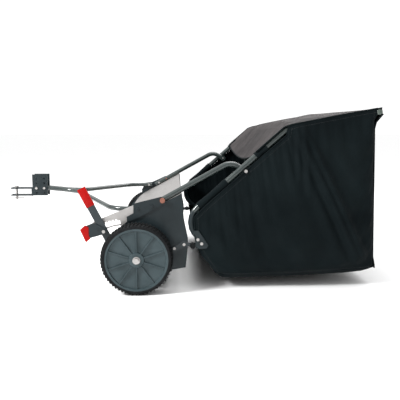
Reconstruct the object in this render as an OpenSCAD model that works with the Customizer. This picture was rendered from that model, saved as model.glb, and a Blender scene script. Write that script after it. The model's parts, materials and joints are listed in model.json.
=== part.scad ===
/* [Running gear] */
// Outside diameter of each tyre
wheel_d = 305; // [300:1:310]
// Width of each tyre
tyre_w = 78; // [70:1:80]
// Diameter of the brush over its bristle tips
brush_d = 230; // [200:1:232]
// Teeth of the internal gear in each wheel
ring_teeth = 55; // [55:1:55]
// Teeth of each brush pinion
pinion_teeth = 11; // [11:1:11]

/* [Housing] */
// Distance between the centre planes of the two side plates
plate_span = 1060; // [1040:10:1080]
// Thickness of the side plates and brackets
plate_t = 3; // [2:0.5:3]
// Radius of the curved front of the cover
cover_r = 179.3; // [178:0.1:180]

/* [Tubes] */
// Diameter of the hopper and arm tubes
tube_d = 25.4; // [24:0.1:26]
// Diameter of the drawbar tubes
drawbar_d = 22; // [20:0.5:24]
// Wall of every tube
tube_wall = 1.5; // [1:0.1:2]

/* [Hopper] */
// Thickness of the bag cloth as modelled
cloth_t = 3; // [2:0.5:3]

/* [Hidden] */

$fn = 64;
BEND_STEPS = 6;       // straight steps in each bend of a tube
TUBE_SIDES = 20;      // sides of a bent tube
RUN = 0.05;           // radial clearance of a running fit
HOLE = 0.2;           // radial clearance of a bolt hole
bolt_r = 4;           // radius of the frame bolts
BRIGHT = "silver";
BLACK = [0.13, 0.15, 0.16];
CLOTH = [0.07, 0.08, 0.09];
RED = [0.85, 0.06, 0.03];
GREY = [0.27, 0.32, 0.33];

// X runs to the rear from the wheel axle, Z up from the ground. The left side of the
// machine is at -Y. axle_x puts the origin below the middle of the whole machine.
axle_x = -180;
wheel_r = wheel_d / 2;
axle = [0, wheel_r];
rim_r = wheel_r - 20;

// Lateral stations, measured out from the middle plane
plate_out = plate_span / 2 + plate_t / 2;
plate_in = plate_out - plate_t;
carrier_y = plate_out + 3.5;
carrier_t = 5;
lever_y = plate_out + 14;
lever_t = 5;
tyre_in = plate_out + 30.5;
tyre_out = tyre_in + tyre_w;
arm_y = plate_in - tube_d / 2 - 0.8;
hopper_y = plate_out + tube_d / 2 + 0.8;
bag_in = hopper_y + tube_d / 2 + 0.3;
bag_out = bag_in + cloth_t;

// Height adjuster: the carrier swings on the height shaft and holds axles and brush
height_pivot = [-60, 99];
shaft_r = 10;
gear_module = 3;
gear_centres = gear_module * (ring_teeth - pinion_teeth) / 2;
brush_drop = 3.5;
brush_axis = [sqrt(gear_centres * gear_centres - brush_drop * brush_drop), axle.y - brush_drop];
brush_shaft_r = 9;
stub_r = 8;
brush_half = plate_in - 14;
hub_r = 20;
hub_w = 24;
strip_in = 30;
strip_t = 10;
lever_top = [-227, 429];
lever_w = 33;
lever_swing = 25;

// Latch and rack, in radii and angles about the height pivot
latch_pivot = [-143, 261];
latch_pin_r = 4;
latch_y = lever_y + lever_t + 3;
latch_t = 4;
tooth_pin_r = 3;
tooth_pin_at = 122.8;
tooth_pin_radius = 201.5;
rack_tip_r = 205.5;
rack_root_r = 212.5;
rack_rail_r = 190;
rack_rail_w = 6;
notch_pitch = 4;

// Drawbar and hitch
tongue_z = 391;
tongue_y = drawbar_d / 2 + 1;
hitch_plate_t = 4;
hitch_hole_r = 5.5;
hitch_pitch_x = 40;
hitch_pitch_z = 25;
hitch_holes_x = -557;
hitch_holes_z = 366;
hitch_pin_x = -666;
hitch_pin_r = 6.35;
hitch_pin_low = 330;
clip_z = hitch_pin_low + 8;
clip_r = 1.6;
clevis_front = -690;
clevis_w = 40;
clevis_t = 6;
clevis_low = 351;
clevis_high = 393;

// Arm tube and hopper tube centre lines in side view
arm_line = [[40, 353.9], [402, 552.1], [463, 516.5]];
arm_dir = unit(arm_line[1] - arm_line[0]);
hopper_line = [[296, 202], [183, 295.5], [639, 694.5], [1046, 769]];
hopper_dir = unit(hopper_line[2] - hopper_line[1]);
hopper_rear_dir = unit(hopper_line[3] - hopper_line[2]);
rear_tube = [1032, 766.4];
front_tube = [300, 196];
front_tube_r = 9;
foot_bolts = [[259, 223], [275, 205]];
bumper = [237, 194];
bumper_r = 11.5;
dump_pivot = arm_line[2];
dump_pin_r = 4;
strut_top = [556, 608];
strut_foot = [812, 74];
strut_r = 8;
floor_rod = [816, 72.6];

// Plate outlines in side view
bracket_outline = [[-17, 377], [102, 406], [120, 399], [119, 381], [84, 358], [52, 341], [2, 314],
                   [-45, 299], [-46, 320], [-17, 336]];
rest_outline = [[140, 163], [140, 176], [198, 212], [215, 204], [250, 203], [250, 185], [216, 187],
                [204, 186], [158, 163]];
foot_outline = [[240, 262], [262, 262], [304, 196], [296, 184], [264, 182], [249, 186], [249, 236]];
latch_outline = [[-238, 265], [-222, 284], [-187, 298], [-160, 286], [-128, 268], [-130, 252],
                 [-152, 246], [-204, 232], [-219, 220]];
low_bracket_outline = [[-24, 362], [18, 366], [60, 384], [102, 404], [120, 399], [119, 381],
                       [84, 358], [52, 341], [2, 314], [-45, 299], [-46, 320]];
bracket_bolts = [[0, 352], [62, 365.7]];
knob_at = [108, 390.9];
rest_bolts = [[158, 179], [200, 196]];

function unit(v) = v / norm(v);
function polar(centre, radius, angle) = centre + radius * [cos(angle), sin(angle)];
function arc(centre, radius, from, to, steps) =
    [for (i = [0:steps]) polar(centre, radius, from + (to - from) * i / steps)];
function side3(p, y) = [p.x, y, p.y];
function across(v) = unit(abs(v.z) < 0.9 ? cross(v, [0, 0, 1]) : cross(v, [1, 0, 0]));

// Places children so that their own axes lie along x, y and z, with the origin at p
module place(p, x, y, z) {
    multmatrix([[x.x, y.x, z.x, p.x], [x.y, y.y, z.y, p.y], [x.z, y.z, z.z, p.z], [0, 0, 0, 1]])
        children();
}

// A plate cut from a side view outline, from lateral station y0 to y1
module side_extrude(y0, y1) {
    translate([0, y1, 0]) rotate([90, 0, 0]) linear_extrude(y1 - y0) children();
}

// A cylinder along Y at a side view point, from lateral station y0 to y1
module cross_rod(p, r, y0, y1) {
    translate([p.x, y1, p.y]) rotate([90, 0, 0]) cylinder(r = r, h = y1 - y0);
}

// Puts the left side shape on the side named by s: -1 left, 1 right
module on_side(s) {
    if (s < 0) children();
    else mirror([0, 1, 0]) children();
}

module ring(r, wall) {
    difference() {
        circle(r);
        circle(r - wall);
    }
}

module tube_run(p, q, r, wall) {
    z = unit(q - p);
    x = across(z);
    place(p, x, cross(z, x), z) linear_extrude(norm(q - p)) ring(r, wall);
}

// A solid round bar between two points
module bar(p, q, r) {
    z = unit(q - p);
    x = across(z);
    place(p, x, cross(z, x), z) cylinder(r = r, h = norm(q - p));
}

// Stations [point, direction] along straight legs joined by bends of the given radii
function route(points, bends) =
    let (last = len(points) - 1,
         d = [for (i = [0:last - 1]) unit(points[i + 1] - points[i])])
    concat([[points[0], d[0]]],
           [for (i = [1:last - 1], k = [0:BEND_STEPS])
                let (turn = acos(d[i - 1] * d[i]),
                     bend = bends[i - 1],
                     inward = unit(d[i] - d[i - 1] * (d[i - 1] * d[i])),
                     start = points[i] - d[i - 1] * bend * tan(turn / 2),
                     a = turn * k / BEND_STEPS)
                [start + inward * bend * (1 - cos(a)) + d[i - 1] * bend * sin(a),
                 d[i - 1] * cos(a) + inward * sin(a)]],
           [[points[last], d[last - 1]]]);

function station_ring(station, ref, r) =
    let (u = unit(ref - station[1] * (ref * station[1])), v = cross(station[1], u))
    [for (j = [0:TUBE_SIDES - 1])
        station[0] + r * (cos(360 * j / TUBE_SIDES) * u + sin(360 * j / TUBE_SIDES) * v)];

// A bent hollow tube in one closed skin; ref is a direction that the tube never runs along
module pipe(points, bends, ref, r) {
    stations = route(points, bends);
    n = len(stations);
    m = TUBE_SIDES;
    outer = [for (st = stations) each station_ring(st, ref, r)];
    inner = [for (st = stations) each station_ring(st, ref, r - tube_wall)];
    skin = [for (i = [0:n - 2], j = [0:m - 1])
        [i * m + j, (i + 1) * m + j, (i + 1) * m + (j + 1) % m, i * m + (j + 1) % m]];
    bore = [for (f = skin) [for (k = [3:-1:0]) f[k] + n * m]];
    near = [for (j = [0:m - 1]) [j, (j + 1) % m, (j + 1) % m + n * m, j + n * m]];
    far = [for (f = near) [for (k = [3:-1:0]) f[k] + (n - 1) * m]];
    polyhedron(points = concat(outer, inner), faces = concat(skin, bore, near, far));
}

// A flat link with round ends between two side view points
module link2d(p, q, r) {
    a = atan2(q.y - p.y, q.x - p.x);
    polygon(concat(arc(p, r, a + 90, a + 270, 24), arc(q, r, a - 90, a + 90, 24)));
}

// A hex bolt along Y: head outside at y0, nut at y1
module cross_bolt(p, r, y0, y1) {
    cross_rod(p, r, y0, y1);
    translate([p.x, y0, p.y]) rotate([90, 0, 0]) cylinder(r = 1.7 * r, h = 1.3 * r, $fn = 6);
    translate([p.x, y1 + 1.3 * r, p.y]) rotate([90, 0, 0]) cylinder(r = 1.7 * r, h = 1.3 * r, $fn = 6);
}

// ---- Housing ----

module housing_cover() {
    front_from = 200;
    front_to = 90 + atan2(arm_dir.y, arm_dir.x);
    rear = polar(brush_axis, cover_r, front_to) + arm_dir * 236;
    normal = [-arm_dir.y, arm_dir.x];
    color(BRIGHT) side_extrude(-plate_in, plate_in) polygon(concat(
        arc(brush_axis, cover_r, front_from, front_to, 16), [rear, rear - normal * 2],
        arc(brush_axis, cover_r - 2, front_to, front_from, 16)));
}

module side_plate(s) {
    drop = polar(height_pivot, norm(brush_axis - height_pivot),
                 atan2(brush_axis.y - height_pivot.y, brush_axis.x - height_pivot.x) - lever_swing);
    color(BLACK) on_side(s) side_extrude(-plate_out, -plate_in) difference() {
        polygon(concat(arc(brush_axis, 188, 180, 118.5, 14),
                       [[192, 419], [200, 311], [217, 223], [217, 186], [207, 93], [156, 85],
                        [-100, 85]]));
        link2d(brush_axis, drop, 20);
        translate(height_pivot) circle(shaft_r + RUN);
        for (p = rest_bolts) translate(p) circle(bolt_r + HOLE);
    }
}

// The left bracket stands outside the rack and is higher than the right one
function bracket_face(s) = plate_out + plate_t * (s < 0 ? 2 : 1);

module drawbar_bracket(s) {
    out = bracket_face(s);
    color(BLACK) on_side(s) side_extrude(-out, plate_t - out) difference() {
        polygon(s < 0 ? bracket_outline : low_bracket_outline);
        for (p = concat(bracket_bolts, [knob_at])) translate(p) circle(bolt_r + HOLE);
    }
}

module height_rack() {
    window_from = 127;
    window_to = 94;
    notches = [for (i = [0:6]) tooth_pin_at - notch_pitch * i];
    color(BRIGHT) side_extrude(-plate_out - plate_t, -plate_out) difference() {
        polygon(concat([[-190, 299], [-17, 370], [78, 366], [78, 357], [45, 338], [0, 315],
                        [-40, 302]],
                       arc(height_pivot, rack_rail_r - rack_rail_w, 92, 128.5, 9)));
        polygon(concat(
            arc(height_pivot, rack_rail_r, window_to, window_from, 8),
            [polar(height_pivot, rack_tip_r, window_from)],
            [for (a = notches, k = [0:3])
                polar(height_pivot, k == 0 || k == 3 ? rack_tip_r : rack_root_r,
                      a + [1.35, 0.9, -0.9, -1.35][k])],
            [polar(height_pivot, rack_tip_r, window_to)]));
        for (p = bracket_bolts) translate(p) circle(bolt_r + HOLE);
    }
}

module rear_apron() {
    color(BLACK) side_extrude(-plate_in, plate_in)
        polygon([[194, 97], [203.6, 186], [205.6, 186], [196, 97]]);
}

module rest_bracket(s) {
    color(GREY) on_side(s) side_extrude(-plate_out - plate_t, -plate_out) difference() {
        polygon(rest_outline);
        for (p = rest_bolts) translate(p) circle(bolt_r + HOLE);
    }
}

module rest_bumpers() {
    color("black") for (s = [-1, 1]) on_side(s)
        cross_rod(bumper, bumper_r, -bag_out - 5, -plate_out - plate_t);
}

module arm_tube(s) {
    pts = [for (p = arm_line) side3(p, -arm_y)];
    eye_r = 15;
    color(GREY) on_side(s) difference() {
        union() {
            pipe([pts[0], pts[1], pts[2] + unit(pts[1] - pts[2]) * (eye_r - 2)], [60], [0, 1, 0],
                 tube_d / 2);
            cross_rod(dump_pivot, eye_r, -arm_y - tube_d / 2, -arm_y + tube_d / 2);
        }
        cross_rod(dump_pivot, dump_pin_r + RUN, -arm_y - tube_d, -arm_y + tube_d);
        for (p = [bracket_bolts[1], knob_at])
            cross_rod(p, bolt_r + HOLE, -arm_y - tube_d, -arm_y + tube_d);
    }
}

module clamp_knobs() {
    color([0.55, 0.33, 0.25]) for (s = [-1, 1]) on_side(s) {
        cross_rod(knob_at, bolt_r, -bracket_face(s) - 6, -arm_y + tube_d / 2 + 5);
        cross_rod(knob_at, 11, -bracket_face(s) - 14, -bracket_face(s));
    }
}

module drawbar_tube(s) {
    pts = [[-574, -tongue_y, tongue_z], [-505, -tongue_y, tongue_z], [-340, -tongue_y, 374],
           [-108, -arm_y, 352], [18, -arm_y, 352]];
    color(GREY) on_side(s) difference() {
        pipe(pts, [300, 140, 110], [0, 0, 1], drawbar_d / 2);
        for (i = [0, 1])
            cross_rod([hitch_holes_x + i * hitch_pitch_x, hitch_holes_z + hitch_pitch_z],
                      bolt_r + HOLE, -60, 0);
        cross_rod(bracket_bolts[0], bolt_r + HOLE, -arm_y - 20, -arm_y + 20);
    }
}

// ---- Hitch ----

module hitch_plate(s) {
    face = tongue_y + drawbar_d / 2;
    color(BLACK) on_side(s) side_extrude(-face - hitch_plate_t, -face) difference() {
        translate([-577, 353]) square([77, 109]);
        for (i = [0, 1], k = [0, 2, 3])
            translate([hitch_holes_x + i * hitch_pitch_x, hitch_holes_z + k * hitch_pitch_z])
                circle(hitch_hole_r);
        for (i = [0, 1])
            translate([hitch_holes_x + i * hitch_pitch_x, hitch_holes_z + hitch_pitch_z])
                circle(bolt_r + HOLE);
    }
}

module hitch_clevis() {
    web_w = 2 * (tongue_y + drawbar_d / 2 + hitch_plate_t);
    color(BLACK) difference() {
        union() {
            for (z = [clevis_low, clevis_high - clevis_t])
                translate([clevis_front, -clevis_w / 2, z])
                    cube([-577 - clevis_front, clevis_w, clevis_t]);
            translate([-583, -web_w / 2, clevis_low])
                cube([6, web_w, clevis_high - clevis_low]);
        }
        translate([hitch_pin_x, 0, clevis_low - 1]) cylinder(r = hitch_pin_r + RUN, h = 60);
    }
}

module hitch_pin() {
    color(BRIGHT) difference() {
        union() {
            translate([hitch_pin_x, 0, hitch_pin_low]) cylinder(r = hitch_pin_r, h = 70);
            translate([hitch_pin_x, 0, clevis_high + 0.2]) cylinder(r = 10, h = 6.8);
        }
        translate([hitch_pin_x - 20, 0, clip_z]) rotate([0, 90, 0]) cylinder(r = clip_r + 0.3, h = 40);
    }
}

// Spring clip: one leg goes through the pin, the other passes beside it
module hitch_clip() {
    gap = 9;
    bow_x = hitch_pin_x + 34;
    color(BRIGHT) {
        translate([hitch_pin_x - 18, 0, clip_z]) rotate([0, 90, 0]) cylinder(r = clip_r, h = 52);
        translate([hitch_pin_x - 10, -gap, clip_z]) rotate([0, 90, 0]) cylinder(r = clip_r, h = 44);
        translate([bow_x, -gap / 2, clip_z]) rotate([0, 0, -90])
            rotate_extrude(angle = 180) translate([gap / 2, 0]) circle(clip_r);
    }
}

module hitch_bolts() {
    face = tongue_y + drawbar_d / 2 + hitch_plate_t;
    color(BRIGHT) for (i = [0, 1])
        cross_bolt([hitch_holes_x + i * hitch_pitch_x, hitch_holes_z + hitch_pitch_z], bolt_r,
                   -face, face);
}

module frame_bolts() {
    color(BRIGHT) for (s = [-1, 1]) on_side(s) {
        for (p = bracket_bolts) cross_bolt(p, bolt_r, -bracket_face(s), -arm_y + tube_d / 2);
        for (p = rest_bolts) cross_bolt(p, bolt_r, -plate_out - plate_t, -plate_in);
    }
}

module hopper_pivot_pins() {
    color(BRIGHT) for (s = [-1, 1]) on_side(s) {
        cross_rod(dump_pivot, dump_pin_r, -bag_out - 4, -arm_y + tube_d / 2 + 4);
        cross_rod(dump_pivot, 7, -bag_out - 9, -bag_out - 4);
    }
}

// ---- Height adjuster and axles ----

module height_shaft() {
    color(GREY) cross_rod(height_pivot, shaft_r, -lever_y - lever_t, carrier_y + carrier_t);
}

module carrier_plate(s) {
    color(BLACK) on_side(s) side_extrude(-carrier_y - carrier_t, -carrier_y) difference() {
        union() {
            link2d(height_pivot, axle, 18);
            link2d(axle, brush_axis, 20);
            link2d(height_pivot, brush_axis, 16);
        }
        translate(height_pivot) circle(shaft_r);
        translate(axle) circle(stub_r);
        translate(brush_axis) circle(brush_shaft_r + 4);
    }
}

module stub_axle(s) {
    color(BRIGHT) on_side(s) {
        cross_rod(axle, stub_r, -tyre_out - 10, -carrier_y);
        cross_rod(axle, 13, -tyre_in + 2, -carrier_y - carrier_t);
    }
}

module axle_nuts() {
    color(BRIGHT) for (s = [-1, 1]) on_side(s) difference() {
        union() {
            cross_rod(axle, 16, -tyre_out - 1.8, -tyre_out - 0.2);
            translate([axle.x, -tyre_out - 1.8, axle.y]) rotate([90, 0, 0])
                cylinder(r = 13, h = 7, $fn = 6);
            cross_rod(axle, 10.5, -tyre_out - 14, -tyre_out - 8.7);
        }
        cross_rod(axle, stub_r, -tyre_out - 10, -tyre_out + 1);
    }
}

module height_lever() {
    color(GREY) side_extrude(-lever_y - lever_t, -lever_y) difference() {
        link2d(height_pivot, lever_top, lever_w / 2);
        translate(height_pivot) circle(shaft_r);
        translate(latch_pivot) circle(latch_pin_r);
    }
}

module lever_grip() {
    along = unit(lever_top - height_pivot);
    side = [-along.y, along.x] * (lever_w / 2 + 1.6);
    end = lever_top + along * (lever_w / 2 + 1.6);
    start = end - along * 86;
    color(RED) difference() {
        side_extrude(-lever_y - lever_t - 1.6, -lever_y + 1.6)
            polygon([start + side, end + side, end - side, start - side]);
        side_extrude(-lever_y - lever_t, -lever_y) link2d(height_pivot, lever_top, lever_w / 2);
    }
}

module latch_pivot_pin() {
    color(BRIGHT) {
        cross_rod(latch_pivot, latch_pin_r, -lever_y - 16, -lever_y);
        cross_rod(latch_pivot, 7, -lever_y - 18, -lever_y - 14.5);
    }
}

module latch_plate() {
    color(BLACK) difference() {
        union() {
            side_extrude(-latch_y - latch_t, -latch_y) polygon(latch_outline);
            cross_rod(polar(height_pivot, tooth_pin_radius, tooth_pin_at), tooth_pin_r,
                      -latch_y - latch_t - 3, -plate_out + 2);
        }
        cross_rod(latch_pivot, latch_pin_r + RUN, -latch_y - 10, -latch_y + 10);
    }
}

module latch_grip() {
    color(RED) difference() {
        side_extrude(-latch_y - latch_t - 1.6, -latch_y + 1.6)
            polygon([[-243, 269], [-222, 288], [-206, 280], [-206, 246], [-200, 230], [-219, 214]]);
        side_extrude(-latch_y - latch_t, -latch_y) polygon(latch_outline);
    }
}

module brush_bushes() {
    color("ivory") for (s = [-1, 1]) on_side(s) difference() {
        union() {
            cross_rod(brush_axis, brush_shaft_r + 4, -carrier_y - carrier_t - 2, -carrier_y + 2);
            cross_rod(brush_axis, brush_shaft_r + 8, -carrier_y - carrier_t - 2,
                      -carrier_y - carrier_t);
        }
        cross_rod(brush_axis, brush_shaft_r + RUN, -carrier_y - 20, -carrier_y + 20);
    }
}

// ---- Brush and its drive ----

module brush_shaft() {
    color(BRIGHT) cross_rod(brush_axis, brush_shaft_r, -tyre_in - 34, tyre_in + 34);
}

module brush_hubs() {
    pitch = brush_half / 2.1;
    color("dimgray") for (i = [-2:2]) translate([0, i * pitch, 0]) difference() {
        union() {
            cross_rod(brush_axis, hub_r, -hub_w / 2, hub_w / 2);
            translate([brush_axis.x, 0, brush_axis.y]) for (k = [0:1])
                rotate([0, 45 + 90 * k, 0]) cube([2 * strip_in, 20, 6], center = true);
        }
        cross_rod(brush_axis, brush_shaft_r, -hub_w, hub_w);
    }
}

module brush_strip(k) {
    color([0.1, 0.1, 0.1]) translate([brush_axis.x, 0, brush_axis.y]) rotate([0, 45 + 90 * k, 0])
        translate([strip_in, -brush_half, -strip_t / 2])
            cube([brush_d / 2 - strip_in, 2 * brush_half, strip_t]);
}

function involute(base, t) = base * [cos(t) + t * PI / 180 * sin(t), sin(t) - t * PI / 180 * cos(t)];
function involute_at(base, r) = r <= base ? 0 : sqrt(r * r / (base * base) - 1) * 180 / PI;
function turned(p, a) = [p.x * cos(a) - p.y * sin(a), p.x * sin(a) + p.y * cos(a)];

// Outline of an involute gear with a tooth centred on +X; thin takes some off each tooth
function gear_points(teeth, add, ded, thin, steps) =
    let (rp = gear_module * teeth / 2, base = rp * cos(20), tip = rp + add, root = rp - ded,
         roll = involute_at(base, rp), at_pitch = involute(base, roll),
         half = 90 / teeth - thin / rp * 180 / PI,
         offset = half + atan2(at_pitch.y, at_pitch.x),
         low = max(base, root),
         radii = [for (i = [0:steps]) low + (tip - low) * i / steps],
         flank = [for (r = radii) turned(involute(base, involute_at(base, r)), -offset)],
         rise = concat(root < base ? [turned([root, 0], -offset)] : [], flank),
         fall = [for (i = [len(rise) - 1:-1:0]) [rise[i].x, -rise[i].y]])
    [for (k = [0:teeth - 1], p = concat(rise, fall)) turned(p, 360 / teeth * k)];

module pinion(s) {
    mesh = atan2(axle.y - brush_axis.y, axle.x - brush_axis.x);
    color(GREY) on_side(s) side_extrude(-tyre_in - 33, -tyre_in - 13) difference() {
        translate(brush_axis) rotate(mesh + 180) polygon(gear_points(pinion_teeth, 2.4, 3.4, 0.35, 3));
        translate(brush_axis) circle(brush_shaft_r + RUN);
    }
}

module ring_gear(s) {
    mesh = atan2(brush_axis.y - axle.y, brush_axis.x - axle.x);
    color(GREY) on_side(s) side_extrude(-tyre_in - 35, -tyre_in - 11) difference() {
        translate(axle) circle(gear_module * ring_teeth / 2 + 11);
        translate(axle) rotate(mesh) polygon(gear_points(ring_teeth, 3.6, 1.9, -0.15, 2));
    }
}

// ---- Wheels ----

module wheel_rim(s) {
    disc_in = tyre_in + 35;
    color(GREY) on_side(s) {
        translate([axle.x, -tyre_out + 1, axle.y]) rotate([-90, 0, 0]) rotate_extrude()
            polygon([[stub_r + RUN, 1], [30, 1], [34, 9], [60, 12], [rim_r - 10, 8],
                     [rim_r - 8, 1], [rim_r, 0], [rim_r, tyre_w - 2], [rim_r - 8, tyre_w - 3],
                     [rim_r - 12, tyre_out - disc_in - 1], [28, tyre_out - disc_in - 1],
                     [24, tyre_w - 6], [stub_r + RUN, tyre_w - 6]]);
        for (k = [0:9]) translate([axle.x, -tyre_out + 3.5, axle.y]) rotate([0, 36 * k + 18, 0])
            translate([30, 0, -2]) cube([rim_r - 36, 8, 4]);
    }
}

module tyre(s) {
    color("black") on_side(s) translate([axle.x, -tyre_out, axle.y]) rotate([-90, 0, 0])
        rotate_extrude() polygon([[rim_r, 1], [rim_r + 6, 0], [wheel_r - 5, 4], [wheel_r, 14],
                                  [wheel_r, tyre_w - 14], [wheel_r - 5, tyre_w - 4],
                                  [rim_r + 6, tyre_w], [rim_r, tyre_w - 1]]);
}

// ---- Hopper ----

module hopper_tube(s) {
    pts = [side3(hopper_line[0], -hopper_y), side3(hopper_line[1], -hopper_y),
           side3(hopper_line[2], -hopper_y), side3(rear_tube, -hopper_y)];
    color(GREY) on_side(s) difference() {
        pipe(pts, [85, 80], [0, 1, 0], tube_d / 2);
        cross_rod(rear_tube, tube_d / 2, -hopper_y - 20, -hopper_y + 20);
        cross_rod(front_tube, front_tube_r, -hopper_y, -hopper_y + 20);
        for (p = foot_bolts) cross_rod(p, bolt_r + HOLE, -hopper_y - 20, -hopper_y + 20);
    }
}

module hopper_rear_tube() {
    color(GREY) side3_tube(rear_tube, tube_d / 2, hopper_y + tube_d / 2);
}

module hopper_front_tube() {
    color(GREY) side3_tube(front_tube, front_tube_r, hopper_y);
}

module side3_tube(p, r, half) {
    difference() {
        cross_rod(p, r, -half, half);
        cross_rod(p, r - tube_wall, -half - 1, half + 1);
    }
}

module hopper_struts() {
    color(GREY) for (s = [-1, 1]) on_side(s) {
        y = -hopper_y + tube_d / 2 + strut_r;
        tube_run(side3(strut_top, y), side3(strut_foot, y), strut_r, tube_wall);
    }
    color(GREY) cross_rod(floor_rod, 5, -hopper_y, hopper_y);
}

// Lug under each hopper tube that turns on the end of the arm tube
module hopper_lugs() {
    up = [-hopper_dir.y, hopper_dir.x];
    foot = hopper_line[1] + hopper_dir * ((dump_pivot - hopper_line[1]) * hopper_dir);
    seat = foot - up * (tube_d / 2);
    color(GREY) for (s = [-1, 1]) on_side(s) difference() {
        side_extrude(-hopper_y - 4, -hopper_y + 4) union() {
            translate(dump_pivot) circle(9);
            polygon([seat - hopper_dir * 34, seat + hopper_dir * 34, dump_pivot + hopper_dir * 9,
                     dump_pivot - hopper_dir * 9]);
        }
        cross_rod(dump_pivot, dump_pin_r + RUN, -hopper_y - 20, -hopper_y + 20);
        bar(side3(hopper_line[1], -hopper_y), side3(hopper_line[2], -hopper_y), tube_d / 2);
    }
}

module hopper_foot_plates() {
    color(GREY) for (s = [-1, 1]) on_side(s) {
        side_extrude(-bag_out - 4, -bag_out - 0.3) difference() {
            polygon(foot_outline);
            for (p = foot_bolts) translate(p) circle(bolt_r);
        }
        for (p = foot_bolts) {
            cross_rod(p, bolt_r, -bag_out - 4, -hopper_y + tube_d / 2);
            cross_rod(p, 6.5, -bag_out - 8, -bag_out - 4);
        }
    }
}

module bag_side(s) {
    low = hopper_line[1] - [-hopper_dir.y, hopper_dir.x] * 17;
    color(CLOTH) on_side(s) side_extrude(-bag_out, -bag_in) difference() {
        polygon([[252, 192], [338, 62], [371, 52], [663, 57], [979, 72], [1040, 82], [1041, 120],
                 [1020, 738], [1040, 768], [929, 738], [668, 688], low + hopper_dir * 560,
                 low + hopper_dir * 130, [243, 320], [246, 262]]);
        for (p = foot_bolts) translate(p) circle(bolt_r + HOLE);
        translate(dump_pivot) circle(10);
    }
}

module bag_floor() {
    color(CLOTH) side_extrude(-bag_in, bag_in)
        polygon([[255, 194], [339, 65], [371, 55], [663, 60], [979, 75], [1037, 84], [1037, 81],
                 [979, 72], [663, 57], [371, 52], [338, 62], [252, 192]]);
}

module bag_back() {
    up = [-hopper_dir.y, hopper_dir.x];
    top = [-hopper_rear_dir.y, hopper_rear_dir.x];
    front = hopper_line[2] - hopper_dir * 160;
    gap = tube_d / 2 + 0.8;
    color(CLOTH) side_extrude(-bag_in, bag_in) polygon([
        front + up * gap, hopper_line[2] - hopper_dir * 6 + up * gap,
        hopper_line[2] + hopper_rear_dir * 20 + top * gap, [1040, 782], [1047, 768], [1043, 752],
        [1037, 120], [1037, 84.5], [1040, 84.5], [1040, 120], [1046, 750], [1050, 768], [1042, 785.5],
        hopper_line[2] + hopper_rear_dir * 20 + top * (gap + cloth_t),
        hopper_line[2] - hopper_dir * 6 + up * (gap + cloth_t), front + up * (gap + cloth_t)]);
}

module machine() {
    translate([axle_x, 0, 0]) children();
}

machine() housing_cover();
machine() side_plate(-1);  // side_plate_left
machine() side_plate(1);  // side_plate_right
machine() drawbar_bracket(-1);  // drawbar_bracket_left
machine() drawbar_bracket(1);  // drawbar_bracket_right
machine() height_rack();
machine() rear_apron();
machine() rest_bracket(-1);  // rest_bracket_left
machine() rest_bracket(1);  // rest_bracket_right
machine() rest_bumpers();
machine() arm_tube(-1);  // arm_tube_left
machine() arm_tube(1);  // arm_tube_right
machine() clamp_knobs();
machine() drawbar_tube(-1);  // drawbar_tube_left
machine() drawbar_tube(1);  // drawbar_tube_right
machine() hitch_plate(-1);  // hitch_plate_left
machine() hitch_plate(1);  // hitch_plate_right
machine() hitch_clevis();
machine() frame_bolts();
machine() hitch_bolts();
machine() hopper_pivot_pins();
machine() hitch_pin();
machine() hitch_clip();
machine() height_shaft();
machine() carrier_plate(-1);  // carrier_plate_left
machine() carrier_plate(1);  // carrier_plate_right
machine() stub_axle(-1);  // stub_axle_left
machine() stub_axle(1);  // stub_axle_right
machine() axle_nuts();
machine() height_lever();
machine() lever_grip();
machine() latch_pivot_pin();
machine() brush_bushes();
machine() latch_plate();
machine() latch_grip();
machine() brush_shaft();
machine() brush_hubs();
for (k = [1:4])
    machine() brush_strip(k);
machine() pinion(-1);  // pinion_left
machine() pinion(1);  // pinion_right
machine() wheel_rim(-1);  // wheel_rim_left
machine() wheel_rim(1);  // wheel_rim_right
machine() tyre(-1);  // tyre_left
machine() tyre(1);  // tyre_right
machine() ring_gear(-1);  // ring_gear_left
machine() ring_gear(1);  // ring_gear_right
machine() hopper_tube(-1);  // hopper_tube_left
machine() hopper_tube(1);  // hopper_tube_right
machine() hopper_rear_tube();
machine() hopper_front_tube();
machine() hopper_struts();
machine() hopper_lugs();
machine() hopper_foot_plates();
machine() bag_side(-1);  // bag_side_left
machine() bag_side(1);  // bag_side_right
machine() bag_floor();
machine() bag_back();
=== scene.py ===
import json
import math

import bmesh
import bpy
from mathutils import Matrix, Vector, noise
from mathutils.bvhtree import BVHTree


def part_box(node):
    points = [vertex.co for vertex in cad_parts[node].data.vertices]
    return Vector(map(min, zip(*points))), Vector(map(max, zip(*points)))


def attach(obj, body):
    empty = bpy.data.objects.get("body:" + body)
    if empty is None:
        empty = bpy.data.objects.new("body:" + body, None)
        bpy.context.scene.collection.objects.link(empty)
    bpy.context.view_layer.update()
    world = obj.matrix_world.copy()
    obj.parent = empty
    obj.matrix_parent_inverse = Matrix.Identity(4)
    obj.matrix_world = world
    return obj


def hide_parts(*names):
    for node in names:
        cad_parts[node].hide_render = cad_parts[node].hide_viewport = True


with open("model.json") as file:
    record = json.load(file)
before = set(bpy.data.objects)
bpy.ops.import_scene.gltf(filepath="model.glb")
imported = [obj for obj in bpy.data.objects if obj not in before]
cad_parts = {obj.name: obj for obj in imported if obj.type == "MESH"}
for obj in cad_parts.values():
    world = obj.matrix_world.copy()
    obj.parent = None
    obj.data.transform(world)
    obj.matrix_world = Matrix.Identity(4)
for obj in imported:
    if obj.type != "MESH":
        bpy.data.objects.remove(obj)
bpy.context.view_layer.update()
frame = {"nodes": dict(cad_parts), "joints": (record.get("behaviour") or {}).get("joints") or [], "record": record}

MM = 0.001
LEFT_RIGHT = (("left", -1), ("right", 1))
joints = {joint["name"]: joint for joint in frame["joints"]}
AXLE = Vector(joints["wheel_left_spin"]["pos_m"])
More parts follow.
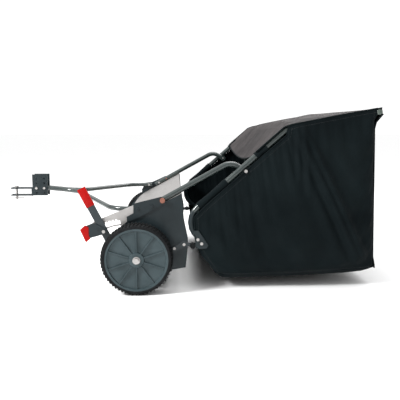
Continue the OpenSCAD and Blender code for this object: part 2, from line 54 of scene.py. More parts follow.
BRUSH = Vector(joints["brush_spin"]["pos_m"])


def side_point(x, z):
    """A point of the side view, given in mm behind the wheel axle and above the ground."""
    return Vector((AXLE.x + x * MM, 0.0, z * MM))


def at_y(point, y):
    return Vector((point.x, y, point.z))


def up_from(direction):
    """The direction square to one of the side view, which is up from one to the rear."""
    return Vector((-direction.z, 0, direction.x))


def clamp(value):
    return min(max(value, 0), 1)


def part_of(value, start, end):
    """How far a value has come from start to end, from 0 to 1."""
    return clamp((value - start) / (end - start))


def circle(sides):
    """Cosine and sine of evenly spaced angles."""
    angles = [2 * math.pi * j / sides for j in range(sides)]
    return [(math.cos(a), math.sin(a)) for a in angles]


def new_object(name, data):
    made = bpy.data.objects.new(name, data)
    bpy.context.scene.collection.objects.link(made)
    return made


# ---- Camera ----

# The photograph's view, fitted to its wheels and tubes: metres, degrees and millimetres
CAMERA_PLACE = (AXLE.x + 0.1625, -2.7705, 0.688)
CAMERA_DOWN = 7.56
CAMERA_RIGHT = 2.741
CAMERA_LENS = 47.13


def make_camera():
    data = bpy.data.cameras.new("camera")
    data.lens = CAMERA_LENS
    data.sensor_width = 36.0
    camera = new_object("camera", data)
    camera.location = CAMERA_PLACE
    camera.rotation_euler = (math.radians(90 - CAMERA_DOWN), 0.0, math.radians(-CAMERA_RIGHT))
    bpy.context.scene.camera = camera


make_camera()


# ---- Materials ----

class Shader:
    """One procedural material being built, in object coordinates."""

    def __init__(self, name, roughness, metallic=0.0):
        self.material = bpy.data.materials.new(name)
        self.material.use_nodes = True
        self.tree = self.material.node_tree
        self.surface = self.tree.nodes["Principled BSDF"]
        self.coords = self.tree.nodes.new("ShaderNodeTexCoord")
        self.height = None
        self.set("Roughness", roughness)
        self.set("Metallic", metallic)

    def set(self, socket, value):
        self.surface.inputs[socket].default_value = value

    def link(self, a, b):
        self.tree.links.new(a, b)

    def texture(self, kind, **values):
        node = self.tree.nodes.new(kind)
        for socket, value in values.items():
            node.inputs[socket].default_value = value
        self.link(self.coords.outputs["Object"], node.inputs["Vector"])
        return node

    def noise(self, scale, detail=4.0):
        return self.texture("ShaderNodeTexNoise", Scale=scale, Detail=detail).outputs["Fac"]

    def wave(self, direction, scale):
        node = self.texture("ShaderNodeTexWave", Scale=scale)
        node.bands_direction = direction
        return node.outputs["Fac"]

    def ramp(self, fac, low, high):
        ramp = self.tree.nodes.new("ShaderNodeValToRGB")
        for stop, position, colour in zip(ramp.color_ramp.elements, (0.3, 0.7), (low, high)):
            stop.position = position
            stop.color = (*colour, 1)
        self.link(fac, ramp.inputs["Fac"])
        return ramp.outputs["Color"]

    def colour(self, fac, low, high):
        self.link(self.ramp(fac, low, high), self.surface.inputs["Base Color"])

    def rough(self, fac, low, high):
        self.link(self.ramp(fac, [low] * 3, [high] * 3), self.surface.inputs["Roughness"])

    def bump(self, fac, strength, distance):
        bump = self.tree.nodes.new("ShaderNodeBump")
        bump.inputs["Strength"].default_value = strength
        bump.inputs["Distance"].default_value = distance
        self.link(fac, bump.inputs["Height"])
        if self.height is not None:
            self.link(self.height, bump.inputs["Normal"])
        self.height = bump.outputs["Normal"]
        self.link(self.height, self.surface.inputs["Normal"])


def galvanised():
    s = Shader("galvanised", 0.35, 0.75)
    s.colour(s.noise(34, 3), (0.355, 0.345, 0.335), (0.405, 0.39, 0.38))
    s.rough(s.noise(120), 0.28, 0.5)
    s.bump(s.noise(300, 2), 0.15, 0.0006)
    return s.material


def paint(name, low, high, gloss, coat_roughness):
    s = Shader(name, 0.4)
    s.set("Specular IOR Level", 0.2)
    s.set("Coat Weight", gloss)
    s.set("Coat Roughness", coat_roughness)
    s.colour(s.noise(9, 6), low, high)
    s.rough(s.noise(40, 5), 0.3, 0.5)
    s.bump(s.noise(700, 2), 0.12, 0.0004)
    return s.material


def plastic(name, low, high, rough_low, rough_high, specular=0.25):
    s = Shader(name, rough_low)
    s.set("Specular IOR Level", specular)
    s.colour(s.noise(14, 5), low, high)
    s.rough(s.noise(60, 4), rough_low, rough_high)
    s.bump(s.noise(900, 2), 0.15, 0.0003)
    return s.material


def rubber(name):
    s = Shader(name, 0.75)
    s.set("Specular IOR Level", 0.12)
    s.colour(s.noise(30, 5), (0.003, 0.0035, 0.004), (0.009, 0.0098, 0.0105))
    s.rough(s.noise(80, 4), 0.6, 0.85)
    s.bump(s.noise(500, 4), 0.3, 0.0006)
    return s.material


def bag_cloth(name, low, high):
    """Coated woven cloth: crossed threads a millimetre apart, with soft mottling."""
    s = Shader(name, 0.7)
    s.set("Specular IOR Level", 0.05)
    s.set("Sheen Weight", 0.01)
    s.colour(s.noise(5, 4), low, high)
    s.rough(s.noise(18, 5), 0.6, 0.8)
    s.bump(s.noise(30, 4), 0.1, 0.002)
    s.bump(s.wave("X", 320), 0.18, 0.0003)
    s.bump(s.wave("Z", 320), 0.18, 0.0003)
    return s.material


MATERIALS = {
    "galvanised": galvanised(),
    "black_paint": paint("black_paint", (0.006, 0.011, 0.013), (0.012, 0.019, 0.022), 0.12, 0.3),
    "grey_paint": paint("grey_paint", (0.014, 0.022, 0.0215), (0.026, 0.036, 0.034), 0.9, 0.1),
    "bronze_plastic": plastic("bronze_plastic", (0.16, 0.06, 0.04), (0.24, 0.1, 0.07), 0.25, 0.4),
    "red_grip": plastic("red_grip", (0.25, 0.0015, 0.0008), (0.31, 0.003, 0.0015), 0.3, 0.45, 0.12),
    "bush_plastic": plastic("bush_plastic", (0.62, 0.6, 0.52), (0.7, 0.68, 0.6), 0.4, 0.55),
    "bumper_rubber": rubber("bumper_rubber"),
    "rim_plastic": plastic("rim_plastic", (0.022, 0.036, 0.04), (0.038, 0.056, 0.062), 0.38, 0.55),
    "tyre": rubber("tyre_rubber"),
    "bristle": plastic("bristle", (0.008, 0.008, 0.008), (0.03, 0.03, 0.03), 0.45, 0.6),
    "bag_cloth": bag_cloth("bag_cloth", (0.0022, 0.0042, 0.005), (0.0045, 0.0078, 0.0088)),
}
# The roof is the sides' cloth painted lighter: painted light from above on the bag's top
ROOF_CLOTH_PAINTED_LIGHT = bag_cloth("roof_cloth_painted_light", (0.022, 0.0205, 0.021), (0.05, 0.045, 0.045))
PLUG_PLASTIC = plastic("plug_plastic", (0.05, 0.07, 0.06), (0.085, 0.105, 0.09), 0.2, 0.35, 0.5)
LEVER_PAINT = paint("lever_paint", (0.012, 0.018, 0.021), (0.022, 0.03, 0.034), 0.25, 0.25)
# Nodes whose finish differs from their slot's
NODE_FINISH = {
    "height_lever": LEVER_PAINT,
    "rest_bracket_left": LEVER_PAINT,
    "rest_bracket_right": LEVER_PAINT,
    "hopper_foot_plates": MATERIALS["black_paint"],
}


def shade_smooth(mesh):
    for polygon in mesh.polygons:
        polygon.use_smooth = True


def split_edges(piece):
    """Keeps real corners sharp on a piece that is shaded smooth."""
    split = piece.modifiers.new("edges", "EDGE_SPLIT")
    split.split_angle = math.radians(32)


def repaint(mesh, material, chosen):
    """Gives a second material to the faces whose centre passes a test."""
    mesh.materials.append(material)
    for polygon in mesh.polygons:
        if chosen(polygon.center):
            polygon.material_index = 1


def finish_cad_nodes():
    """Material and smooth round faces for every CAD node, and soft corners for the grips."""
    for part in frame["record"]["subparts"]:
        node = frame["nodes"][part["node"]]
        slot = part["material_slot"]
        node.data.materials.clear()
        node.data.materials.append(NODE_FINISH.get(part["node"], MATERIALS[slot]))
        if "custom_normal" in node.data.attributes:
            node.data.attributes.remove(node.data.attributes["custom_normal"])
        shade_smooth(node.data)
        weld = node.modifiers.new("weld", "WELD")
        weld.merge_threshold = 0.00002
        if slot == "red_grip":
            bevel = node.modifiers.new("round", "BEVEL")
            bevel.width = 0.0028
            bevel.segments = 4
            bevel.angle_limit = math.radians(50)
        split_edges(node)


def paint_cad_details():
    black, bright = MATERIALS["black_paint"], MATERIALS["galvanised"]
    # The bolts of the left drawbar bracket are painted with the frame
    repaint(frame["nodes"]["frame_bolts"].data, black, lambda at: at.z > 0.3 and at.y < 0)
    # The bolts that stand 4 mm out of the hopper's foot plates are bright
    plate_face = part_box("hopper_foot_plates")[1].y - 0.0039
    repaint(frame["nodes"]["hopper_foot_plates"].data, bright, lambda at: abs(at.y) > plate_face)
    # The hopper tubes are black below the straight part that carries the hopper
    foot_top = side_point(0, 345).z
    for word, _ in LEFT_RIGHT:
        repaint(frame["nodes"][f"hopper_tube_{word}"].data, black, lambda at: at.z < foot_top)


finish_cad_nodes()
paint_cad_details()


# ---- Building pieces ----

def add_piece(name, verts, faces, body, material_slot, material=None):
    mesh = bpy.data.meshes.new(name)
    mesh.from_pydata([tuple(v) for v in verts], [], faces)
    mesh.validate()
    mesh.materials.append(material or MATERIALS[material_slot])
    piece = new_object(name, mesh)
    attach(piece, body)
    return piece


def outward(piece):
    """Joins points that meet and turns all faces outwards."""
    build = bmesh.new()
    build.from_mesh(piece.data)
    bmesh.ops.remove_doubles(build, verts=build.verts, dist=0.00005)
    bmesh.ops.recalc_face_normals(build, faces=build.faces)
    build.to_mesh(piece.data)
    build.free()


def grid_faces(rows, columns):
    return [(r * columns + c, (r + 1) * columns + c, (r + 1) * columns + c + 1, r * columns + c + 1)
            for r in range(rows - 1) for c in range(columns - 1)]


def loft_faces(start, rings, sides, capped=True):
    """Faces of a tube through rings of points, the first of which has the number start."""
    last = start + (rings - 1) * sides
    faces = [(a + j, a + (j + 1) % sides, a + sides + (j + 1) % sides, a + sides + j)
             for a in range(start, last, sides) for j in range(sides)]
    if capped:
        faces += [tuple(range(start + sides - 1, start - 1, -1)), tuple(range(last, last + sides))]
    return faces


def path_length(path):
    return sum((b - a).length for a, b in zip(path, path[1:]))


def along(path, fraction):
    """The point at a fraction of a polyline's length."""
    left = fraction * path_length(path)
    for a, b in zip(path, path[1:]):
        length = (b - a).length
        if left <= length:
            return a.lerp(b, left / length)
        left -= length
    return path[-1].copy()


def area_between(path_a, path_b, steps=200):
    """Area between two polylines of the side view, taken in thin quadrilaterals."""
    total = 0.0
    for i in range(steps):
        a, b = along(path_a, i / steps), along(path_a, (i + 1) / steps)
        c, d = along(path_b, (i + 1) / steps), along(path_b, i / steps)
        total += 0.5 * (c - a).cross(d - b).length
    return total


# ---- Bag ----

# Half the bag's width, and half the distance between the hopper tubes' centre lines
BAG_Y = 0.5595
TUBE_Y = 0.545
TUBE_BEND = side_point(639, 694.5)
TUBE_DIR = (TUBE_BEND - side_point(183, 295.5)).normalized()
REAR_DIR = (side_point(1046, 769) - TUBE_BEND).normalized()
# From a tube's centre line to the cloth that lies on it
CLOTH_GAP = 0.0152
CLOTH_THICK = 0.0014
BINDING_R = 0.0032
# Radius of the rounded seams, and how far in a seam then lies
EDGE_ROUND = 0.036
SEAM_IN = EDGE_ROUND * (1 - math.sqrt(0.5))
# Depth of the soft shapes: roof, floor, side panels and back
ROOF_CROWN = 0.016
ROOF_RIPPLE = 0.005
FRONT_SAG = 0.055
FLOOR_SAG = 0.012
SIDE_BELLY = 0.018
SIDE_RIPPLE = 0.004
BACK_BULGE = 0.012
BACK_RIPPLE = 0.008
BACK_GATHER = 0.005
# Side view, in mm: the ends of the side panels, of the roof's front part, and of the back
BAG_FRONT, BAG_REAR = 300, 1035
SAG_START, SAG_END = 680, 520
BACK_LOW, BACK_HIGH = 84, 764
TOP_EDGE = [side_point(*p) for p in ((252, 192), (246, 262), (243, 320), (292, 368), (606, 642),
                                     (636, 668), (642, 704), (672, 716), (929, 765), (1022, 781))]
LOW_EDGE = [side_point(*p) for p in ((252, 192), (338, 62), (371, 53), (663, 57), (979, 72),
                                     (1030, 79), (1042, 92))]
ROOF_PATH = [side_point(1041, 84), side_point(1043, 120), side_point(1026, 732),
             side_point(1047, 758), side_point(1041, 783),
             TUBE_BEND + REAR_DIR * 0.02 + up_from(REAR_DIR) * CLOTH_GAP,
             TUBE_BEND - TUBE_DIR * 0.006 + up_from(TUBE_DIR) * CLOTH_GAP,
             TUBE_BEND - TUBE_DIR * 0.16 + up_from(TUBE_DIR) * CLOTH_GAP]
BACK_SEAM = [side_point(1042, 95), side_point(1043, 120), side_point(1026, 715)]
# The size that the sides and floor are cut from
BAG_MIDDLE = side_point(700, 380)
# Long folds of the side panels: from and to in mm, height in m, width in mm
FOLDS = [((668, 708), (985, 75), 0.03, 17), ((700, 712), (1015, 85), 0.026, 13),
         ((655, 700), (905, 66), 0.008, 24), ((330, 400), (560, 66), 0.007, 30),
         ((262, 330), (470, 60), 0.007, 30), ((480, 520), (760, 62), 0.006, 34),
         ((760, 725), (1036, 340), 0.006, 26), ((700, 715), (735, 400), 0.012, 11),
         ((680, 712), (690, 470), 0.01, 9), ((420, 480), (640, 200), 0.005, 24)]


def fold_height(x, z):
    """How far the side cloth stands out at a side view point in mm, in metres."""
    total = 0.0
    for (x0, z0), (x1, z1), height, width in FOLDS:
        length = math.hypot(x1 - x0, z1 - z0)
        ax, az = (x1 - x0) / length, (z1 - z0) / length
        run = ((x - x0) * ax + (z - z0) * az) / length
        off = ((x - x0) * az - (z - z0) * ax) / width
        if 0 < run < 1:
            fade = math.sin(math.pi * run) ** 0.6
            total += height * fade * (math.exp(-off * off) - 0.4 * math.exp(-(off - 1.5) ** 2))
    return total


def puffed(piece, pinned, frames, slack, pressure, cap):
    """Runs cloth on a piece with some points pinned, and keeps each move under cap."""
    before = [v.co.copy() for v in piece.data.vertices]
    group = piece.vertex_groups.new(name="pinned")
    group.add(pinned, 1.0, "REPLACE")
    cloth = piece.modifiers.new("cloth", "CLOTH")
    cloth.settings.quality = 6
    cloth.settings.mass = 0.25
    cloth.settings.tension_stiffness = 30
    cloth.settings.compression_stiffness = 30
    cloth.settings.bending_stiffness = 0.4
    cloth.settings.shrink_min = -slack
    cloth.settings.use_pressure = True
    cloth.settings.uniform_pressure_force = pressure
    cloth.settings.vertex_group_mass = group.name
    cloth.point_cache.frame_end = frames
    for step in range(1, frames + 1):
        bpy.context.scene.frame_set(step)
    shaped = piece.evaluated_get(bpy.context.evaluated_depsgraph_get())
    after = [v.co.copy() for v in shaped.data.vertices]
    piece.modifiers.remove(cloth)
    piece.vertex_groups.clear()
    bpy.context.scene.frame_set(1)
    for vertex, old, new in zip(piece.data.vertices, before, after):
        move = new - old
        reach = cap * math.tanh(move.length / cap)
        vertex.co = old + (move.normalized() * reach if move.length > 1e-9 else Vector())


def thicken(piece, thickness):
    solid = piece.modifiers.new("thickness", "SOLIDIFY")
    solid.thickness = thickness
    solid.offset = 0
    shade_smooth(piece.data)
    smooth = piece.modifiers.new("smooth", "SUBSURF")
    smooth.levels = 1
    smooth.render_levels = 1


def piping(name, points):
    """A bound edge of the bag."""
    curve = bpy.data.curves.new(name, "CURVE")
    curve.dimensions = "3D"
    curve.bevel_depth = BINDING_R
    curve.bevel_resolution = 3
    spline = curve.splines.new("POLY")
    spline.points.add(len(points) - 1)
    for knot, point in zip(spline.points, points):
        knot.co = (*point, 1)
    curve.materials.append(MATERIALS["bag_cloth"])
    piece = new_object(name, curve)
    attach(piece, "hopper")
    return piece


def eased(distance):
    """Turns a place near a sewn edge into one on a quarter round that meets its neighbour."""
    if distance >= EDGE_ROUND:
        return distance, 0.0
    turn = math.pi / 4 * (1 - distance / EDGE_ROUND)
    return EDGE_ROUND * (1 - math.sin(turn)), EDGE_ROUND * (1 - math.cos(turn))


def across(y):
    """1 in the middle of the bag's width and 0 at its sides."""
    return abs(math.cos(math.pi * y / (2 * BAG_Y)))


def hang(y):
    """The share of its full sag that cloth has at a place across the bag."""
    return across(y) ** 0.7


def height_of(edge, x):
    """Height of an edge of the bag above the ground at a place along the machine."""
    for a, b in zip(edge, edge[1:]):
        if a.x <= x <= b.x:
            return a.z + (b.z - a.z) * (x - a.x) / (b.x - a.x)
    return edge[0].z if x < edge[0].x else edge[-1].z


def floor_height(x):
    return height_of(LOW_EDGE, x)


def edge_height(x):
    return height_of(TOP_EDGE[2:], x)


def rear_edge(z):
    """Where the side panel's rear edge is at a height, along the machine."""
    top, low = TOP_EDGE[-1], LOW_EDGE[-1]
    return low.x + (top.x - low.x) * part_of(z, low.z, top.z)


def shell_points(stations, side_rows, floor_rows):
    """Points of the two sides and the floor, station by station from the left to the right."""
    verts = []
    for i in range(stations):
        s = i / (stations - 1)
        top, low = along(TOP_EDGE, s), along(LOW_EDGE, s)
        side = [top.lerp(low, r / side_rows) for r in range(side_rows)]
        verts += [at_y(p, -BAG_Y) for p in side]
        verts += [at_y(low, BAG_Y * (2 * r / floor_rows - 1)) for r in range(floor_rows + 1)]
        verts += [at_y(p, BAG_Y) for p in reversed(side)]
    return verts


def pinned_points(mesh):
    """Points on the sheet's outline and where its sides meet its floor."""
    build = bmesh.new()
    build.from_mesh(mesh)
    pinned = {v.index for edge in build.edges if edge.is_boundary for v in edge.verts}
    build.free()
    pinned.update(v.index for v in mesh.vertices if abs(abs(v.co.y) - BAG_Y) < 1e-5
                  and abs(v.co.z - floor_height(v.co.x)) < 1e-4)
    return sorted(pinned)


def shape_side(point):
    """Belly, folds and rounded edges of a side panel, at one of its points."""
    floor = floor_height(point.x)
    above = point.z - floor
    x, z = (point.x - AXLE.x) / MM, point.z / MM
    run = part_of(x, BAG_FRONT, BAG_REAR)
    up = min(above / max(edge_height(point.x) - floor, 0.05), 1)
    belly = SIDE_BELLY * math.sin(math.pi * run) * math.sin(math.pi * up)
    ripple = SIDE_RIPPLE * noise.noise(Vector((x, 0, z)) * 0.012)
    crease = fold_height(x, z) + belly + ripple
    out = max(abs(point.y) - BAG_Y + crease * min(1, above / 0.04), -0.0008)
    rise, tuck = eased(max(above, 0))
    point.z += rise - max(above, 0)
    if point.z < side_point(0, 735).z:
        back = max(rear_edge(point.z) - point.x, 0)
        reach, more = eased(back)
        point.x -= reach - back
        tuck = max(tuck, more)
    point.y = math.copysign(BAG_Y + out - tuck, point.y)


def shape_floor(point):
    """Sag and rounded edges of the floor, at one of its points."""
    inset, lift = eased(BAG_Y - abs(point.y))
    point.z += lift - FLOOR_SAG * across(point.y)
    point.y = math.copysign(BAG_Y - inset, point.y)


def make_bag_shell():
    """The two sides and the floor in one sheet, hung from the hopper tubes."""
    stations, side_rows, floor_rows = 96, 44, 56
    verts = shell_points(stations, side_rows, floor_rows)
    faces = grid_faces(stations, 2 * side_rows + floor_rows + 1)
    shell = add_piece("bag_shell", verts, faces, "hopper", "bag_cloth")
    outward(shell)
    if sum((f.center - BAG_MIDDLE).dot(f.normal) for f in shell.data.polygons) < 0:
        shell.data.flip_normals()
    on_sides = {v.index for v in shell.data.vertices
                if abs(v.co.y) > BAG_Y - 1e-5 and v.co.z > floor_height(v.co.x) - 1e-5}
    puffed(shell, pinned_points(shell.data), frames=22, slack=0.02, pressure=1.2, cap=0.012)
    for v in shell.data.vertices:
        point = v.co.copy()
        if v.index in on_sides:
            shape_side(point)
        else:
            shape_floor(point)
        v.co = point
    thicken(shell, CLOTH_THICK)
    return shell


def shape_roof(point, wrinkle):
    """Crown of the roof and sag of its front, at one of its points."""
    x = (point.x - AXLE.x) / MM
    free = part_of(x, BAG_REAR, BAG_REAR - 150)
    front = part_of(x, SAG_START, SAG_END)
    sag = ROOF_RIPPLE * wrinkle + FRONT_SAG * front - ROOF_CROWN * (1 - front)
    point.z -= free * hang(point.y) * sag


def shape_back(point, wrinkle):
    """Bulge, upright gathers and rounded edges of the back, at one of its points."""
    z = point.z / MM
    height = part_of(z, BACK_LOW, BACK_HIGH)
    gather = math.sin(point.y * 34 + 3 * noise.noise(Vector((point.y * 3, z * 0.002, 7))))
    fall = math.sin(math.pi * height)
    edge = BAG_Y - abs(point.y)
    inset, tuck = eased(edge)
    soft = clamp((height - 0.01) * 12) * clamp((0.96 - height) * 12)
    bulge = hang(point.y) * fall * (BACK_BULGE + BACK_RIPPLE * wrinkle)
    point.x -= bulge + BACK_GATHER * gather * fall
    point.x -= tuck * soft
    point.y = math.copysign(BAG_Y - inset * soft - edge * (1 - soft), point.y)


def make_bag_roof():
    """The back and the roof in one sheet, laid over the hopper tubes."""
    rows, columns = 130, 60
    verts = [at_y(along(ROOF_PATH, r / (rows - 1)), BAG_Y * (2 * c / (columns - 1) - 1))
             for r in range(rows) for c in range(columns)]
    roof = add_piece("bag_roof", verts, grid_faces(rows, columns), "hopper", "bag_cloth",
                     ROOF_CLOTH_PAINTED_LIGHT)
    for v in roof.data.vertices:
        point = v.co.copy()
        x, z = (point.x - AXLE.x) / MM, point.z / MM
        wrinkle = noise.noise(Vector((x * 0.01, point.y * 5, z * 0.01)))
        if z > 757 or x < 1000:
            shape_roof(point, wrinkle)
        else:
            shape_back(point, wrinkle)
        v.co = point
    thicken(roof, CLOTH_THICK)
    # The back keeps the sides' dark cloth; the roof keeps the lighter cloth with its painted light from above
    repaint(roof.data, MATERIALS["bag_cloth"],
            lambda at: at.x > AXLE.x + 0.98 and at.z < 0.76)
    return roof


def make_trims():
    """Bound edges of the left side, then of the right one, and last the roof's front hem."""
    trims = []
    for word, side in LEFT_RIGHT:
        y, seam_y = side * BAG_Y, side * (BAG_Y - SEAM_IN)
        low = [Vector((p.x, seam_y, p.z + SEAM_IN)) for p in LOW_EDGE]
        top = [at_y(p, y) for p in TOP_EDGE]
        back = [Vector((p.x - SEAM_IN, seam_y, p.z)) for p in BACK_SEAM]
        back.append(at_y(ROOF_PATH[3], y))
        rail = [at_y(p, y) for p in ROOF_PATH[4:]]
        for part, path in (("low", low), ("top", top), ("back", back), ("rail", rail)):
            trims.append(piping(f"bag_binding_{part}_{word}", path))
    front = [at_y(ROOF_PATH[-1], BAG_Y * (2 * i / 40 - 1)) for i in range(41)]
    for point in front:
        point.z -= FRONT_SAG * hang(point.y)
    trims.append(piping("bag_hem_front", front))
    return trims


STITCH_PITCH = 0.007
STITCH_INSET = 0.016
# Half the thread's width, and how far it lies off the cloth
THREAD_HALF = 0.0006
THREAD_LIFT = 0.0003
# A place beyond the side panels, from which the cloth is looked for
OUTSIDE_Y = 0.7


def make_stitches(shell):
    """Rows of thread just inside the edges of the side panels, laid on the cloth."""
    bpy.context.view_layer.update()
    tree = BVHTree.FromObject(shell, bpy.context.evaluated_depsgraph_get())
    verts, faces = [], []
    for _, side in LEFT_RIGHT:
        for edge in (LOW_EDGE, TOP_EDGE, [TOP_EDGE[-1], LOW_EDGE[-1]]):
            count = int(path_length(edge) / STITCH_PITCH)
            for i in range(count):
                a, b = along(edge, (i + 0.1) / count), along(edge, (i + 0.7) / count)
                inward = up_from((b - a).normalized())
                if inward.dot(BAG_MIDDLE - a) < 0:
                    inward = -inward
                ends = []
                for point in (a, b):
                    start = at_y(point + inward * STITCH_INSET, side * OUTSIDE_Y)
                    hit = tree.ray_cast(start, Vector((0, -side, 0)), 0.2)[0]
                    if hit is not None:
                        ends.append(hit + Vector((0, side * THREAD_LIFT, 0)))
                if len(ends) == 2:
                    faces += loft_faces(len(verts), 2, 4)
                    verts += [end + inward * u * THREAD_HALF + Vector((0, w * THREAD_HALF, 0))
                              for end in ends for u, w in ((-1, -1), (1, -1), (1, 1), (-1, 1))]
    thread = plastic("bag_thread", (0.012, 0.014, 0.015), (0.022, 0.025, 0.027), 0.6, 0.8)
    outward(add_piece("bag_stitches", verts, faces, "hopper", "bag_cloth", thread))


# A sleeve's thickness, radius, and the depth of its flared mouths and wrinkles
SLEEVE_THICK = 0.0012
SLEEVE_R = 0.0146
SLEEVE_FLARE = 0.0012
SLEEVE_WRINKLE = 0.0011


def make_sleeve(name, side, start, end):
    """A cloth tube, sewn to the bag, that a straight stretch of the hopper tube runs in."""
    rise = up_from((end - start).normalized())
    rings, sides = 48, 28
    verts = []
    for i in range(rings):
        f = i / (rings - 1)
        centre = start.lerp(end, f) + Vector((0, side * TUBE_Y, 0))
        mouth = SLEEVE_R + SLEEVE_FLARE * math.cos(2 * math.pi * f)
        for c, s in circle(sides):
            r = mouth + SLEEVE_WRINKLE * noise.noise(Vector((f * 14, c * 1.4, s * 1.4)))
            verts.append(centre + rise * r * c + Vector((0, r * s, 0)))
    faces = loft_faces(0, rings, sides, capped=False)
    sleeve = add_piece(name, verts, faces, "hopper", "bag_cloth")
    outward(sleeve)
    thicken(sleeve, SLEEVE_THICK)


def make_tube_plug(name, side):
    """The domed plastic plug in the end of the hopper's rear tube."""
    low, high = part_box("hopper_rear_tube")
    centre = (low + high) / 2
    radius = (high.z - low.z) / 2
    # Radius, and distance outside the tube's end
    profile = [(0.0105, -0.012), (0.0105, 0.0), (radius, 0.0), (radius - 0.0004, 0.0015),
               (radius - 0.003, 0.0032), (0.0045, 0.0042), (0.0001, 0.0044)]
    sides = 32
    verts = [Vector((centre.x + r * c, side * (high.y + out), centre.z + r * s))
             for r, out in profile for c, s in circle(sides)]
    faces = loft_faces(0, len(profile), sides)
    plug = add_piece(name, verts, faces, "hopper", "bumper_rubber", PLUG_PLASTIC)
    outward(plug)
    for polygon in plug.data.polygons:
        polygon.use_smooth = len(polygon.vertices) == 4


def make_bag():
    shell = make_bag_shell()
    roof = make_bag_roof()
    trims = make_trims()
    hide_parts("bag_side_left", "bag_side_right", "bag_floor")
    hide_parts("bag_back")
    make_stitches(shell)
    for word, side in LEFT_RIGHT:
        make_sleeve(f"bag_sleeve_{word}", side, side_point(262, 364.6), side_point(384, 471.4))
        make_sleeve(f"roof_sleeve_{word}", side, side_point(507, 579), side_point(553, 619.2))
        make_tube_plug(f"tube_plug_{word}", side)
    shell_area = 2 * area_between(TOP_EDGE, LOW_EDGE) + path_length(LOW_EDGE) * 2 * BAG_Y


make_bag()


# ---- Tyres ----

TYRE_STEPS = 120
# Lugs on each half of the tread
LUGS = 60


def turned(profile, steps):
    """A closed ring turned about the wheels' axle from (radius, y) points."""
    verts = [Vector((AXLE.x + r * c, y, AXLE.z + r * s))
             for c, s in circle(steps) for r, y in profile]
    n = len(profile)
    faces = [(i * n + j, ((i + 1) % steps) * n + j, ((i + 1) % steps) * n + (j + 1) % n,
              i * n + (j + 1) % n) for i in range(steps) for j in range(n)]
    return verts, faces


def make_tyre(word):
    low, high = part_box(f"tyre_{word}")
    middle, half = (low.y + high.y) / 2, (high.y - low.y) / 2
    radius = (high.z - low.z) / 2
    bead = radius - 0.020
    tread = radius - 0.0045
    # Section: radius, and distance from the tyre's middle
    profile = [(bead, -half + 0.001), (bead + 0.006, -half), (bead + 0.011, -half + 0.001),
               (tread - 0.004, -half + 0.006), (tread, -half + 0.014), (tread, 0),
               (tread, half - 0.014), (tread - 0.004, half - 0.006), (bead + 0.011, half - 0.001),
               (bead + 0.006, half), (bead, half - 0.001)]
    verts, faces = turned([(r, middle + y) for r, y in profile], TYRE_STEPS)
    # Along a lug: distance from the tyre's middle, inner and outer radius, and angle
    stations = ((0.002, tread - 0.002, radius, 0.0), (half - 0.014, tread - 0.002, radius, 0.035),
                (half - 0.004, tread - 0.010, radius - 0.004, 0.045),
                (half - 0.0005, bead + 0.009, radius - 0.010, 0.048))
    for i in range(2 * LUGS):
        edge = -1 if i % 2 else 1
        faces += loft_faces(len(verts), len(stations), 4)
        for y, inner, outer, skew in stations:
            for r, turn in ((inner, -0.019), (outer, -0.013), (outer, 0.013), (inner, 0.019)):
                a = math.pi * i / LUGS + skew + turn
                verts.append(Vector((AXLE.x + r * math.cos(a), middle + edge * y,
                                     AXLE.z + r * math.sin(a))))
    tyre = add_piece(f"tyre_tread_{word}", verts, faces, f"wheel_{word}", "tyre")
    outward(tyre)
    shade_smooth(tyre.data)
    split_edges(tyre)
    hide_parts(f"tyre_{word}")


for side_word, _ in LEFT_RIGHT:
    make_tyre(side_word)


# ---- Brush ----

FILAMENTS = 230
# How far the filaments start from the shaft's centre, and their length
FILAMENT_ROOT = 0.030
FILAMENT_LENGTH = 0.082
FILAMENT_END_GAP = 0.004
# Radius at the root and at the tip, and distance between the rows
FILAMENT_R = (0.0014, 0.0009)
ROW_PITCH = 0.003


def make_bristles(k):
    """Three rows of stiff filaments in a channel, for one strip of the brush."""
    low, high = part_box(f"brush_strip_{k}")
    angle = -math.radians(45 + 90 * k)
    out = Vector((math.cos(angle), 0, math.sin(angle)))
    flat = up_from(out)
    verts, faces = [], []
    length = high.y - low.y - 2 * FILAMENT_END_GAP
    for i in range(FILAMENTS):
        for row in (-1, 0, 1):
            y = low.y + FILAMENT_END_GAP + length * (i + 0.5 * (row % 2)) / FILAMENTS
            lean = noise.noise_vector(Vector((i * 0.7, row * 3.1, k * 5.3)))
            root = at_y(BRUSH + out * FILAMENT_ROOT + flat * row * ROW_PITCH, y)
            tip = root + out * (FILAMENT_LENGTH + 0.002 * lean.z) + flat * lean.x * 0.004
            tip.y = min(max(y + lean.y * 0.005, low.y), high.y)
            faces += loft_faces(len(verts), 2, 3)
            verts += [centre + flat * r * c + Vector((0, r * s, 0))
                      for centre, r in zip((root, tip), FILAMENT_R) for c, s in circle(3)]
    faces += loft_faces(len(verts), 2, 4)
    # The channel's section: distance from the shaft's centre, and sideways
    section = ((0.030, -0.005), (0.041, -0.0045), (0.041, 0.0045), (0.030, 0.005))
    verts += [at_y(BRUSH + out * u + flat * w, y) for y in (low.y, high.y) for u, w in section]
    strip = add_piece(f"bristles_{k}", verts, faces, "brush", "bristle")
    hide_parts(f"brush_strip_{k}")


# Known fault: noise_vector takes its seed from the clock, so every run leans the bristles anew
for strip_number in (1, 2, 3, 4):
    make_bristles(strip_number)


# ---- Studio ----

WHITE = (1, 1, 1, 1)
BACKDROP = 1.12
# Strength of the light from straight below and from straight above
SKY_LOW, SKY_HIGH = 0.5, 1.4
FLOOR_HALF = 90
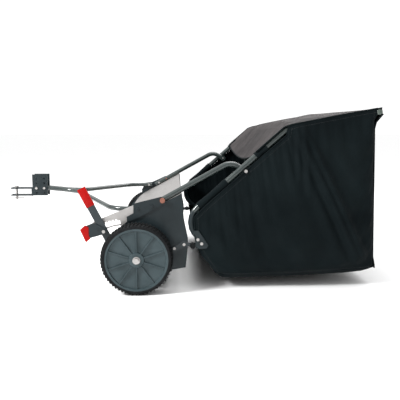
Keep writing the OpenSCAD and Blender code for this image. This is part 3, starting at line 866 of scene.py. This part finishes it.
# Name, place, power in watts, size in metres
LIGHTS = (("key", (-3.0, -2.0, 2.6), 230, 0.9),
          ("top", (0.5, 0.3, 3.4), 60, 1.8),
          ("back", (1.6, 3.0, 2.2), 25, 1.6))


def make_world():
    """A plain white backdrop, and a softer sky that lights the part, brighter from above."""
    world = bpy.data.worlds.new("studio")
    world.use_nodes = True
    tree = world.node_tree
    seen = tree.nodes["Background"]
    seen.inputs["Color"].default_value = WHITE
    seen.inputs["Strength"].default_value = BACKDROP
    soft = tree.nodes.new("ShaderNodeBackground")
    soft.inputs["Color"].default_value = WHITE
    direction = tree.nodes.new("ShaderNodeTexCoord")
    split = tree.nodes.new("ShaderNodeSeparateXYZ")
    height = tree.nodes.new("ShaderNodeMapRange")
    height.inputs["To Min"].default_value = SKY_LOW
    height.inputs["To Max"].default_value = SKY_HIGH
    mix = tree.nodes.new("ShaderNodeMixShader")
    rays = tree.nodes.new("ShaderNodeLightPath")
    for a, b in ((direction.outputs["Generated"], split.inputs["Vector"]),
                 (split.outputs["Z"], height.inputs["Value"]),
                 (height.outputs["Result"], soft.inputs["Strength"]),
                 (rays.outputs["Is Camera Ray"], mix.inputs["Fac"]),
                 (soft.outputs["Background"], mix.inputs[1]),
                 (seen.outputs["Background"], mix.inputs[2]),
                 (mix.outputs["Shader"], tree.nodes["World Output"].inputs["Surface"])):
        tree.links.new(a, b)
    bpy.context.scene.world = world
    bpy.context.scene.view_settings.view_transform = "Standard"


def make_floor():
    mesh = bpy.data.meshes.new("floor")
    corners = ((-1, -1), (1, -1), (1, 1), (-1, 1))
    mesh.from_pydata([(x * FLOOR_HALF, y * FLOOR_HALF, 0) for x, y in corners], [], [(0, 1, 2, 3)])
    shader = Shader("floor", 0.9)
    shader.colour(shader.noise(2), (0.9, 0.9, 0.9), (0.92, 0.92, 0.92))
    mesh.materials.append(shader.material)
    new_object("floor", mesh)


def make_lights():
    aim = Vector((0, 0, 0.4))
    for name, place, power, size in LIGHTS:
        data = bpy.data.lights.new(name, "AREA")
        data.energy = power
        data.size = size
        light = new_object(name, data)
        light.location = place
        light.rotation_euler = (aim - light.location).to_track_quat("-Z", "Y").to_euler()


make_world()
make_floor()
make_lights()
